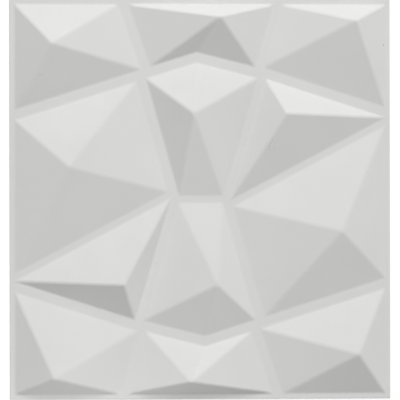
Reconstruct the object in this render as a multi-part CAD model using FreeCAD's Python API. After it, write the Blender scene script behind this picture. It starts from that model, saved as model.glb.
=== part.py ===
import FreeCAD, Part

import math
import os

from FreeCAD import Vector

# A square relief wall panel, formed from one plastic sheet. It lies face up.
# Millimetres. X is to the right and Y is up as it is seen on the wall, +Z points out of the face.
# The origin is the middle of the back, at the level of the flat rims that meet the wall.

# Tile and sheet
tile_width = 500.0
tile_height = 500.0
sheet_thickness = 1.0
relief_height = 22.0
# The ridges are rounded over this distance either side of their sharp line, whatever their angle.
ridge_setback = 2.5
foot_radius = 2.0

# Grooves between the raised cells, measured where the flat web shows
wide_groove = 13.0
medium_groove = 11.0
narrow_groove = 9.0
rim_width = 6.5

# Every groove leaves the tile this far from the middle of a side, so it runs on into the next tile.
groove_end = 103.6
# Two grooves leave together either side of a pointed cell, this far from their shared end.
tip_spread = 3.3

# The groove that crosses the upper half: its two bends, by their distance from the upright centre line
# and from the top edge
upper_bend_x = -5.5
upper_bend_drop = 72.4
right_bend_x = 79.0
right_bend_drop = 92.7
# Past the right bend the groove starts again this much higher up.
right_bend_step = 2.0
# Where the other grooves meet it, by their distance from the upright centre line
top_left_stem_x = -69.9
top_right_stem_x = 75.6
core_left_x = -79.6
core_right_x = 83.0
# The grooves of the middle row meet on the level centre line, or just above it.
waist_junction_x = 33.8
waist_branch_rise = 9.0

# Peaks of the cells against an edge of the tile, given by the distance from the nearest edges
top_left_peak = (48.2, 55.1)
top_right_peak = (50.8, 25.8)
top_middle_peak = (20.0, 21.2)
left_peak = (70.5, 40.5)
# Peaks of the two inner cells, from the tile's centre
upper_core_peak = (-15.3, 107.1)
right_wedge_peak = (107.3, 107.2)

left_edge = -tile_width / 2
right_edge = tile_width / 2
top_edge = tile_height / 2
bottom_edge = -tile_height / 2
web_level = sheet_thickness
peak_level = sheet_thickness + relief_height
# A peak is rounded on a deeper body, which reaches past what is needed by this ratio.
spare_reach = 1.2
# Places closer together than this count as one.
tolerance = 1e-4


def half_turn(point):
    """The same place after half a turn of the tile, since its plan repeats that way."""
    return (-point[0], -point[1])


def place_on(start, end, x):
    """The place at the distance x on the line from start to end."""
    rise = (end[1] - start[1]) / (end[0] - start[0])
    return (x, start[1] + rise * (x - start[0]))


cross_start = (left_edge, groove_end)
upper_bend = (upper_bend_x, top_edge - upper_bend_drop)
right_bend = (right_bend_x, top_edge - right_bend_drop)
right_restart = (right_bend_x, right_bend[1] + right_bend_step)
cross_end = (right_edge, groove_end + tip_spread)
waist_left = (-waist_junction_x, 0.0)
waist_right = (waist_junction_x, 0.0)
waist_branch_right = (waist_junction_x, -waist_branch_rise)

# Each boundary of a cell: two points of its centre line and the width of flat web across it.
# A rim is half a groove, so its centre line is the tile's own edge.
groove_lines = {
    "top_rim": ((left_edge, top_edge), (right_edge, top_edge), 2 * rim_width),
    "left_rim": ((left_edge, bottom_edge), (left_edge, top_edge), 2 * rim_width),
    "right_rim": ((right_edge, bottom_edge), (right_edge, top_edge), 2 * rim_width),
    "left_rise": (cross_start, upper_bend, wide_groove),
    "core_shoulder": (upper_bend, right_bend, wide_groove),
    "right_fall": (right_restart, cross_end, wide_groove),
    "top_left_stem": (
        (-groove_end, top_edge),
        place_on(cross_start, upper_bend, top_left_stem_x),
        wide_groove,
    ),
    "top_right_stem": (
        (groove_end, top_edge),
        place_on(upper_bend, right_bend, top_right_stem_x),
        medium_groove,
    ),
    "core_left": (place_on(cross_start, upper_bend, core_left_x), waist_left, wide_groove),
    "core_right": (place_on(right_restart, cross_end, core_right_x), waist_right, medium_groove),
    "waist": (waist_left, waist_right, narrow_groove),
    "left_branch": (half_turn(waist_branch_right), (left_edge, tip_spread - groove_end), narrow_groove),
    "right_branch": (waist_branch_right, (right_edge, groove_end - tip_spread), narrow_groove),
}

# The six cells of the upper half: the boundaries in order round the cell, and the place of its peak.
# The lower half has the same six after half a turn.
upper_cells = [
    (
        ["top_rim", "left_rim", "left_rise", "top_left_stem"],
        (left_edge + top_left_peak[0], top_edge - top_left_peak[1]),
    ),
    (
        ["top_rim", "top_left_stem", "left_rise", "core_shoulder", "top_right_stem"],
        (top_middle_peak[0], top_edge - top_middle_peak[1]),
    ),
    (
        ["right_rim", "top_rim", "top_right_stem", "right_fall"],
        (right_edge - top_right_peak[0], top_edge - top_right_peak[1]),
    ),
    (
        ["left_rim", "left_branch", "core_left", "left_rise"],
        (left_edge + left_peak[0], left_peak[1]),
    ),
    (
        ["left_rise", "core_left", "waist", "core_right", "core_shoulder"],
        upper_core_peak,
    ),
    (
        ["right_fall", "core_right", "right_branch"],
        right_wedge_peak,
    ),
]


def cell_side(name, peak):
    """One side of a cell's base: a point and a direction, half a groove from the groove's centre line."""
    (start_x, start_y), (end_x, end_y), width = groove_lines[name]
    along_x = end_x - start_x
    along_y = end_y - start_y
    length = math.hypot(along_x, along_y)
    across_x = -along_y / length
    across_y = along_x / length
    if (peak[0] - start_x) * across_x + (peak[1] - start_y) * across_y < 0:
        across_x = -across_x
        across_y = -across_y
    point = (start_x + across_x * width / 2, start_y + across_y * width / 2)
    return point, (along_x / length, along_y / length)


def crossing(first, second):
    """The point where two lines cross, each given by a point and a direction."""
    (first_x, first_y), (u_x, u_y) = first
    (second_x, second_y), (v_x, v_y) = second
    turn = u_x * v_y - u_y * v_x
    distance = ((second_x - first_x) * v_y - (second_y - first_y) * v_x) / turn
    return (first_x + distance * u_x, first_y + distance * u_y)


def cell_base(names, peak):
    """Corners of a cell's base at the level of the web, anticlockwise."""
    sides = [cell_side(name, peak) for name in names]
    return [crossing(sides[index - 1], sides[index]) for index in range(len(sides))]


def rounding_radius(body, ridge):
    """The radius that rounds a ridge over the set width.
    A crease bends the other way and is rounded like a foot."""
    first, second = body.ancestorsOfType(ridge, Part.Face)
    turn = first.normalAt(0, 0).getAngle(second.normalAt(0, 0))
    if (second.CenterOfMass - first.CenterOfMass).dot(first.normalAt(0, 0)) > 0:
        return foot_radius
    return ridge_setback / math.tan(turn / 2)


def round_ridges(body, summit):
    """Rounds every ridge that runs up to the summit, each with its own radius."""
    ridges = []
    for number, edge in enumerate(body.Edges, start=1):
        if any(vertex.Point.isEqual(summit, tolerance) for vertex in edge.Vertexes):
            radius = rounding_radius(body, edge)
            ridges.append((number, radius, radius))
    document = FreeCAD.newDocument("Rounding")
    sharp = document.addObject("Part::Feature", "SharpPeak")
    sharp.Shape = body
    rounding = document.addObject("Part::Fillet", "RoundedPeak")
    rounding.Base = sharp
    rounding.Edges = ridges
    document.recompute()
    rounded = rounding.Shape.copy()
    FreeCAD.closeDocument(document.Name)
    return rounded


def faceted_peak(base, peak):
    """A peak on the web. Its flat facets run on down to the underside, so it joins the web cleanly.
    It is rounded while it is part of a deeper body, whose ridges end square on an upright round wall."""
    reaches = [math.hypot(x - peak[0], y - peak[1]) for x, y in base]
    wall_radius = spare_reach * max(reaches)
    stretch = spare_reach * wall_radius / min(reaches)
    summit = Vector(peak[0], peak[1], peak_level)
    low_level = peak_level - relief_height * stretch
    corners = []
    for x, y in base:
        low_x = peak[0] + (x - peak[0]) * stretch
        low_y = peak[1] + (y - peak[1]) * stretch
        corners.append(Vector(low_x, low_y, low_level))
    faces = [Part.Face(Part.makePolygon(corners[::-1] + corners[-1:]))]
    for index, corner in enumerate(corners):
        faces.append(Part.Face(Part.makePolygon([corners[index - 1], corner, summit, corners[index - 1]])))
    shell = Part.Shell(faces)
    shell.sewShape()
    height = peak_level - low_level
    drum = Part.makeCylinder(wall_radius, height, Vector(peak[0], peak[1], low_level))
    rounded = round_ridges(Part.Solid(shell).common(drum), summit)
    upper_part = Part.makeCylinder(spare_reach * wall_radius, height, Vector(peak[0], peak[1], 0))
    return rounded.common(upper_part)


def relief_block():
    """The panel's face as a solid block: the flat web with the twelve rounded peaks on it."""
    web = Part.makeBox(tile_width, tile_height, web_level, Vector(left_edge, bottom_edge, 0))
    peaks = []
    for names, peak in upper_cells:
        upper = faceted_peak(cell_base(names, peak), peak)
        lower = upper.copy()
        lower.rotate(Vector(0, 0, 0), Vector(0, 0, 1), 180)
        peaks += [upper, lower]
    return web.multiFuse(peaks).removeSplitter()


def is_foot(edge):
    """True for an edge where a facet or ridge meets the web."""
    inside = [vertex for vertex in edge.Vertexes if abs(vertex.Point.x) < right_edge - tolerance]
    inside = [vertex for vertex in inside if abs(vertex.Point.y) < top_edge - tolerance]
    level = all(abs(vertex.Point.z - web_level) < tolerance for vertex in edge.Vertexes)
    return level and len(inside) == len(edge.Vertexes)


def faces_up(face):
    """True for the faces of the relief, and false for the block's flat sides and underside."""
    box = face.BoundBox
    flat = box.ZLength < tolerance and abs(box.ZMin) < tolerance
    upright = box.XLength < tolerance or box.YLength < tolerance
    return not flat and not upright


def edge_wall(start, end):
    """The cut edge of the sheet along one side of the tile."""
    drop = Vector(0, 0, -sheet_thickness)
    return Part.Face(Part.makePolygon([start, end, end + drop, start + drop, start]))


def relief_panel():
    """The formed sheet. Drawn down over the mould, it keeps its thickness as measured straight up and down,
    so the walls are thinner where they are steep. The back is hollow under every peak."""
    block = relief_block()
    block = block.makeFillet(foot_radius, [edge for edge in block.Edges if is_foot(edge)])
    front = [face for face in block.Faces if faces_up(face)]
    back = []
    for face in front:
        below = face.copy()
        below.translate(Vector(0, 0, -sheet_thickness))
        back.append(below)
    corners = [
        Vector(left_edge, bottom_edge, web_level),
        Vector(right_edge, bottom_edge, web_level),
        Vector(right_edge, top_edge, web_level),
        Vector(left_edge, top_edge, web_level),
    ]
    walls = [edge_wall(corners[index - 1], corners[index]) for index in range(len(corners))]
    shell = Part.Shell(front + back + walls)
    shell.sewShape()
    panel = Part.Solid(shell)
    if panel.Volume < 0:
        panel.reverse()
    return panel


os.makedirs("parts", exist_ok=True)
relief_panel().exportStep("parts/relief_panel.step")
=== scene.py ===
import math

import bmesh
import bpy
from mathutils import Matrix, Vector


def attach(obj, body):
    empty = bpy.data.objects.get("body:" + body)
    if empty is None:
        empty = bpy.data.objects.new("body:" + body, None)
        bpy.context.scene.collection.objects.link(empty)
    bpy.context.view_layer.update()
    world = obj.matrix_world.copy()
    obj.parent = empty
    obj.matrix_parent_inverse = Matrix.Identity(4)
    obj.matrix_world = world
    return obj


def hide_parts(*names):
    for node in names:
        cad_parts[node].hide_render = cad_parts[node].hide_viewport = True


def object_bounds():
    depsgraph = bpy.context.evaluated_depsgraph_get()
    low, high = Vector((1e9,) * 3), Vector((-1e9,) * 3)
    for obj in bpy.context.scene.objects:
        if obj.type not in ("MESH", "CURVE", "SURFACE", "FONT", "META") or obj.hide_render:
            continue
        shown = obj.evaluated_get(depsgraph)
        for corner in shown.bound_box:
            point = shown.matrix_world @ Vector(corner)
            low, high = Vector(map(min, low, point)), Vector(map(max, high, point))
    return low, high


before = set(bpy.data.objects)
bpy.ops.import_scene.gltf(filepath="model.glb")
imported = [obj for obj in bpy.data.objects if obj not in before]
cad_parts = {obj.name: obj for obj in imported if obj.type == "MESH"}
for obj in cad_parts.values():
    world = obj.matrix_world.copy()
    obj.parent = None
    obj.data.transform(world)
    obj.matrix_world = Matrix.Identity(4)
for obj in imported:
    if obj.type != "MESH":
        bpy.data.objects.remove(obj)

# Metres, in the part's own frame: the panel lies face up with its back at height 0.
# X is to the right and Y is up as the panel is seen from the camera.
cad_low, cad_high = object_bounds()
panel_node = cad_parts["relief_panel"]

# The formed sheet. Roundings reach this far to either side of the sharp line.
sheet_thickness = 0.001
ridge_setback = 0.0025
foot_setback = 0.0016
rim_radius = 0.0002
bevel_steps = 5
# The tile's sides are cut into this many pieces, so that no long thin triangle runs along a rim.
side_steps = 40

# Reading the CAD mesh: the least rise of a normal on the panel's face, the least area of a flat slope,
# the least agreement of two normals of one slope, and the distances that count as none
least_rise = 0.1
smallest_slope = 0.0008
same_direction = 0.9999
level_tolerance = 0.00002
weld_distance = level_tolerance / 10
# An edge that turns less than this is flat, and a face whose normal rises less than this is a cut edge.
flat_turn = math.radians(0.5)
cut_edge_rise = 0.01

# Camera: a long lens, leaning from straight above towards the panel's left side and rolled a hair.
# The picture's middle is this place on the floor, and its height covers this much of the panel.
camera_lean = math.radians(18)
camera_roll = math.radians(-0.105)
camera_distance = 20.0
camera_reach = 2 * camera_distance
picture_middle = (-0.0005, -0.0011, 0)
picture_height = 0.5004
sensor_width = 36

# Light: the strength of the sky, and the soft boxes, all of which face the panel's middle. For each box:
# its name, its irradiance there, its height above the floor and its turn from the panel's up side
# towards its right, both in degrees, its distance and its width
sky_strength = 0.116
soft_boxes = [
    ("key", 3.558, 48, 0, 7.0, 6.3),
    ("fill", 1.051, 12, 120, 7.0, 6.3),
    ("low", 0.243, 15, 200, 0.5, 0.2),
    ("high", 0.064, 50, 0, 0.5, 0.2),
]

# The bare floor shows just white to the camera with this lift, so the panel's shadow still shows on it.
floor_size = 12
floor_grey = (0.8, 0.8, 0.8)
floor_roughness = 0.9
floor_lift = 0.33

# The plastic. Its white drifts a little between the first two colours.
white_low = (0.718, 0.722, 0.703)
white_high = (0.734, 0.738, 0.719)
dirt = (0.2, 0.2, 0.19)
# A lighter colour that is painted highlight, standing in for light catching the raised lip of a scuff.
painted_lip_highlight = (0.95, 0.95, 0.93)
roughness_low = 0.55
roughness_high = 0.66
specular_level = 0.3
slack_depth = 0.0012
grain_depth = 0.00001
# Noises: the scale in cycles per metre and the detail. Most of a noise lies between the two shares.
white_noise = (16, 5)
sheen_noise = (40, 4)
slack_noise = (5, 0)
grain_noise = (1800, 2)
noise_low = 0.3
noise_high = 0.7

# Marks on the face: the place, the half-widths across and up, how strong each is, and its colour.
# The first is a speck. The next nine are one small scuff: six darker spots, then three lighter ones that are
# painted highlight where light catches the scuff's raised lip. The last six are one faint scratch with a
# smudge beside it.
marks = [
    (0.2417, 0.1930, 0.0006, 0.0012, 0.9, dirt),
    (0.0897, 0.0734, 0.0013, 0.0010, 0.15, dirt),
    (0.0874, 0.0701, 0.0008, 0.0010, 0.30, dirt),
    (0.0863, 0.0664, 0.0008, 0.0024, 0.23, dirt),
    (0.0864, 0.0621, 0.0012, 0.0008, 0.13, dirt),
    (0.0945, 0.0627, 0.00075, 0.0012, 0.37, dirt),
    (0.0933, 0.0594, 0.0009, 0.0009, 0.17, dirt),
    # Painted highlight: the lit side of the scuff's raised lip.
    (0.0899, 0.0696, 0.0008, 0.0010, 0.25, painted_lip_highlight),
    (0.0962, 0.0626, 0.0009, 0.0013, 0.25, painted_lip_highlight),
    (0.0957, 0.0598, 0.0009, 0.0011, 0.20, painted_lip_highlight),
    (-0.2152, 0.1568, 0.0010, 0.0020, 0.09, dirt),
    (-0.2167, 0.1541, 0.0010, 0.0014, 0.09, dirt),
    (-0.2182, 0.1526, 0.0012, 0.0010, 0.09, dirt),
    (-0.2200, 0.1508, 0.0012, 0.0010, 0.09, dirt),
    (-0.2215, 0.1492, 0.0010, 0.0010, 0.08, dirt),
    (-0.2125, 0.1553, 0.0030, 0.0020, 0.05, dirt),
]
# A mark fades out between these shares of its half-widths.
mark_core = 0.5
mark_border = 1.2

# Where a Mix node keeps its two colours and its result
mix_first = 6
mix_second = 7
mix_result = 2


def connected_faces(start, left):
    """All the faces joined to the first one through edges, taken out of those that are left."""
    left.remove(start)
    front = [start]
    found = []
    while front:
        face = front.pop()
        found.append(face)
        near = {other for edge in face.edges for other in edge.link_faces if other in left}
        left -= near
        front += near
    return found


def cell_slopes(faces):
    """The flat slopes of one cell, each by its normal and its middle.

    The largest face comes first, because it gives the slope its normal.
    """
    slopes = []
    for face in sorted(faces, key=lambda face: (-face.calc_area(), face.index)):
        for slope in slopes:
            if slope["normal"].dot(face.normal) > same_direction:
                break
        else:
            slope = {"normal": face.normal.copy(), "area": 0.0, "middle": Vector()}
            slopes.append(slope)
        slope["area"] += face.calc_area()
        slope["middle"] += face.calc_center_median() * face.calc_area()
    return [
        (slope["normal"], slope["middle"] / slope["area"])
        for slope in slopes
        if slope["area"] > smallest_slope
    ]


def slope_planes(mesh):
    """The relief's flat slopes, read from the CAD mesh, cell by cell.

    Faces that touch above the web belong to one cell, and faces of one direction make one slope.
    """
    web_level = sheet_thickness + level_tolerance
    reader = bmesh.new()
    reader.from_mesh(mesh)
    bmesh.ops.remove_doubles(reader, verts=reader.verts, dist=weld_distance)
    reader.faces.index_update()
    raised = {
        face
        for face in reader.faces
        if face.normal.z > least_rise and max(vert.co.z for vert in face.verts) > web_level
    }
    cells = []
    for start in reader.faces:
        if start in raised:
            slopes = cell_slopes(connected_faces(start, raised))
            if slopes:
                cells.append(slopes)
    reader.free()
    return cells


def meeting_point(planes):
    """The point nearest to all the planes, each given by its normal and a point on it."""
    spread = Matrix(((0, 0, 0), (0, 0, 0), (0, 0, 0)))
    pull = Vector()
    for normal, point in planes:
        for row in range(3):
            spread[row] += normal[row] * normal
        pull += normal * normal.dot(point)
    return spread.inverted() @ pull


def add_cell(builder, slopes, web_level, lift):
    """Adds one sharp pyramid, moved down by lift, and returns the edges of its base in order."""
    peak = meeting_point(slopes)
    slopes = sorted(slopes, key=lambda slope: math.atan2(slope[1].y - peak.y, slope[1].x - peak.x))
    web = (Vector((0, 0, 1)), Vector((0, 0, web_level)))
    corners = []
    for index, slope in enumerate(slopes):
        corner = meeting_point([slopes[index - 1], slope, web])
        corners.append(builder.verts.new((corner.x, corner.y, web_level - lift)))
    tip = builder.verts.new((peak.x, peak.y, peak.z - lift))
    for index, corner in enumerate(corners):
        builder.faces.new((corner, corners[(index + 1) % len(corners)], tip))
    return [builder.edges.get((corner, corners[index - 1])) for index, corner in enumerate(corners)]


def add_surface(builder, cells, web_level, lift):
    """Adds the sharp relief, moved down by lift: the cells, and the flat web round them.

    It returns the vertices of the tile's outline in order.
    """
    corners = [
        Vector((cad_low[0], cad_low[1], web_level - lift)),
        Vector((cad_high[0], cad_low[1], web_level - lift)),
        Vector((cad_high[0], cad_high[1], web_level - lift)),
        Vector((cad_low[0], cad_high[1], web_level - lift)),
    ]
    outline = []
    for index, corner in enumerate(corners):
        for step in range(side_steps):
            outline.append(builder.verts.new(corners[index - 1].lerp(corner, step / side_steps)))
    borders = [builder.edges.new((outline[index - 1], corner)) for index, corner in enumerate(outline)]
    for slopes in cells:
        borders += add_cell(builder, slopes, web_level, lift)
    filled = bmesh.ops.triangle_fill(builder, edges=borders, use_beauty=True)
    for face in filled["geom"]:
        if isinstance(face, bmesh.types.BMFace) and face.normal.z < 0:
            face.normal_flip()
    return outline


def rounding(edge):
    """How far the rounding of an edge reaches into each of its faces."""
    turn = edge.calc_face_angle_signed(0)
    if abs(turn) < flat_turn:
        return 0
    rises = [face.normal.z for face in edge.link_faces]
    if min(abs(rise) for rise in rises) < cut_edge_rise:
        return rim_radius
    on_top = rises[0] > 0
    if (turn > 0) == on_top:
        return ridge_setback
    return foot_setback


def add_sheet(builder):
    """Adds the sharp sheet: the face, its copy as the back, and the cut edges between them."""
    cells = slope_planes(panel_node.data)
    upper = add_surface(builder, cells, sheet_thickness, 0)
    front_faces = set(builder.faces)
    lower = add_surface(builder, cells, sheet_thickness, sheet_thickness)
    back_faces = [face for face in builder.faces if face not in front_faces]
    bmesh.ops.reverse_faces(builder, faces=back_faces)
    for index, corner in enumerate(upper):
        builder.faces.new((corner, upper[index - 1], lower[index - 1], lower[index]))
    bmesh.ops.recalc_face_normals(builder, faces=builder.faces)
    builder.normal_update()


def formed_sheet():
    """The panel as a closed sheet with evenly rounded ridges, feet and rims, on the CAD mesh's own planes."""
    builder = bmesh.new()
    add_sheet(builder)
    reaches = [rounding(edge) for edge in builder.edges]
    widest = max(reaches)
    weight = builder.edges.layers.float.new("bevel_weight_edge")
    for edge, reach in zip(builder.edges, reaches):
        edge[weight] = reach / widest
    mesh = bpy.data.meshes.new("formed_sheet")
    builder.to_mesh(mesh)
    builder.free()
    mesh.shade_smooth()
    sheet = bpy.data.objects.new("formed_sheet", mesh)
    bpy.context.scene.collection.objects.link(sheet)
    bevel = sheet.modifiers.new("rounding", "BEVEL")
    bevel.limit_method = "WEIGHT"
    bevel.width = widest
    bevel.segments = bevel_steps
    bevel.use_clamp_overlap = False
    bevel.loop_slide = False
    # The flat faces keep their own normals, and only the rounded strips between them are shaded as curved.
    bevel.face_strength_mode = "FSTR_ALL"
    shading = sheet.modifiers.new("shading", "WEIGHTED_NORMAL")
    shading.mode = "FACE_AREA"
    shading.use_face_influence = True
    bpy.context.view_layer.objects.active = sheet
    bpy.ops.object.modifier_apply(modifier=bevel.name)
    bpy.ops.object.modifier_apply(modifier=shading.name)
    return sheet


def add_node(tree, kind, values=(), **settings):
    """A shader node with its settings, and with the given values on its inputs."""
    node = tree.nodes.new("ShaderNode" + kind)
    for name, setting in settings.items():
        setattr(node, name, setting)
    for socket, value in values:
        node.inputs[socket].default_value = value
    return node


def add_noise(tree, place, scale, detail, low, high):
    """Noise spread between low and high."""
    noise = add_node(tree, "TexNoise", [("Scale", scale), ("Detail", detail)])
    spread = add_node(
        tree,
        "MapRange",
        [("From Min", noise_low), ("From Max", noise_high), ("To Min", low), ("To Max", high)],
    )
    tree.links.new(place, noise.inputs["Vector"])
    tree.links.new(noise.outputs["Fac"], spread.inputs["Value"])
    return spread.outputs["Result"]


def add_bump(tree, height, depth, under=None):
    """Relief of the given depth in metres, on top of another relief if there is one."""
    bump = add_node(tree, "Bump", [("Strength", 1), ("Distance", depth)])
    tree.links.new(height, bump.inputs["Height"])
    if under:
        tree.links.new(under, bump.inputs["Normal"])
    return bump.outputs["Normal"]


def add_mark(tree, place, x, y, half_width, half_height, strength):
    """How far one mark covers the plastic: most in its middle, fading out at its border."""
    shares = (1 / half_width, 1 / half_height, 0)
    from_middle = add_node(tree, "VectorMath", [(1, (x, y, 0))], operation="SUBTRACT")
    in_widths = add_node(tree, "VectorMath", [(1, shares)], operation="MULTIPLY")
    distance = add_node(tree, "VectorMath", operation="LENGTH")
    fade = add_node(
        tree,
        "MapRange",
        [("From Min", mark_core), ("From Max", mark_border), ("To Min", strength), ("To Max", 0)],
        interpolation_type="SMOOTHSTEP",
    )
    tree.links.new(place, from_middle.inputs[0])
    tree.links.new(from_middle.outputs["Vector"], in_widths.inputs[0])
    tree.links.new(in_widths.outputs["Vector"], distance.inputs[0])
    tree.links.new(distance.outputs["Value"], fade.inputs["Value"])
    return fade.outputs["Result"]


def add_blend(tree, factor, first, second):
    """A colour between two others. Each is a colour or an output."""
    blend = add_node(tree, "Mix", data_type="RGBA")
    tree.links.new(factor, blend.inputs["Factor"])
    for socket, colour in ((blend.inputs[mix_first], first), (blend.inputs[mix_second], second)):
        if isinstance(colour, tuple):
            socket.default_value = (*colour, 1)
        else:
            tree.links.new(colour, socket)
    return blend.outputs[mix_result]


def plastic_material():
    """Matte white formed plastic: a faint drift of white and sheen, a fine grain, slack flat faces, marks,
    and a painted highlight on a scuff's lip.
    """
    material = bpy.data.materials.new("matte_white_plastic")
    material.use_nodes = True
    tree = material.node_tree
    shader = tree.nodes["Principled BSDF"]
    place = add_node(tree, "TexCoord").outputs["Object"]
    colour = add_blend(tree, add_noise(tree, place, *white_noise, 0, 1), white_low, white_high)
    # Each mark blends its colour in. The lighter ones are painted highlight on the scuff's lip.
    for *spot, tint in marks:
        colour = add_blend(tree, add_mark(tree, place, *spot), colour, tint)
    slack = add_bump(tree, add_noise(tree, place, *slack_noise, 0, 1), slack_depth)
    grain = add_bump(tree, add_noise(tree, place, *grain_noise, 0, 1), grain_depth, slack)
    sheen = add_noise(tree, place, *sheen_noise, roughness_low, roughness_high)
    tree.links.new(colour, shader.inputs["Base Color"])
    tree.links.new(sheen, shader.inputs["Roughness"])
    tree.links.new(grain, shader.inputs["Normal"])
    shader.inputs["Specular IOR Level"].default_value = specular_level
    return material


def white_to_camera(tree, socket, usual, to_camera):
    """Gives a strength one value in the camera's own rays and another in every other ray."""
    path = add_node(tree, "LightPath")
    strength = add_node(tree, "MapRange", [("To Min", usual), ("To Max", to_camera)])
    tree.links.new(path.outputs["Is Camera Ray"], strength.inputs["Value"])
    tree.links.new(strength.outputs["Result"], socket)


def make_floor():
    """A pale floor that shows white to the camera and keeps the panel's shadow."""
    bpy.ops.mesh.primitive_plane_add(size=floor_size, location=(0, 0, 0))
    floor = bpy.context.object
    floor.name = "floor"
    material = bpy.data.materials.new("floor_white")
    material.use_nodes = True
    shader = material.node_tree.nodes["Principled BSDF"]
    shader.inputs["Base Color"].default_value = (*floor_grey, 1)
    shader.inputs["Roughness"].default_value = floor_roughness
    shader.inputs["Emission Color"].default_value = (1, 1, 1, 1)
    white_to_camera(material.node_tree, shader.inputs["Emission Strength"], 0, floor_lift)
    floor.data.materials.append(material)


def make_world():
    """An even sky that shows white behind the floor."""
    world = bpy.data.worlds.new("studio")
    bpy.context.scene.world = world
    world.use_nodes = True
    background = world.node_tree.nodes["Background"]
    background.inputs["Color"].default_value = (1, 1, 1, 1)
    white_to_camera(world.node_tree, background.inputs["Strength"], sky_strength, 1)


def make_soft_box(name, irradiance, height_degrees, turn_degrees, distance, width):
    """A square area light that faces the middle of the panel."""
    height = math.radians(height_degrees)
    turn = math.radians(turn_degrees)
    level = math.cos(height)
    towards = Vector((math.sin(turn) * level, math.cos(turn) * level, math.sin(height)))
    data = bpy.data.lights.new(name, "AREA")
    data.shape = "SQUARE"
    data.size = width
    data.energy = irradiance * math.pi * distance ** 2
    box = bpy.data.objects.new(name, data)
    bpy.context.scene.collection.objects.link(box)
    box.visible_camera = False
    box.location = towards * distance
    box.rotation_euler = towards.to_track_quat("Z", "Y").to_euler()


def make_camera():
    """A camera above the panel, leaning to its left side, with the panel's Y upwards in the picture."""
    data = bpy.data.cameras.new("camera")
    camera = bpy.data.objects.new("camera", data)
    bpy.context.scene.collection.objects.link(camera)
    data.sensor_width = sensor_width
    data.lens = sensor_width * camera_distance / picture_height
    data.clip_end = camera_reach
    turn = Matrix.Rotation(-camera_lean, 4, "Y") @ Matrix.Rotation(camera_roll, 4, "Z")
    away = Matrix.Translation((0, 0, camera_distance))
    camera.matrix_world = Matrix.Translation(picture_middle) @ turn @ away
    bpy.context.scene.camera = camera


sheet = formed_sheet()
sheet.data.materials.append(plastic_material())
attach(sheet, "root")
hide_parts("relief_panel")

bpy.context.scene.view_settings.view_transform = "Standard"
make_floor()
make_world()
for soft_box in soft_boxes:
    make_soft_box(*soft_box)
make_camera()
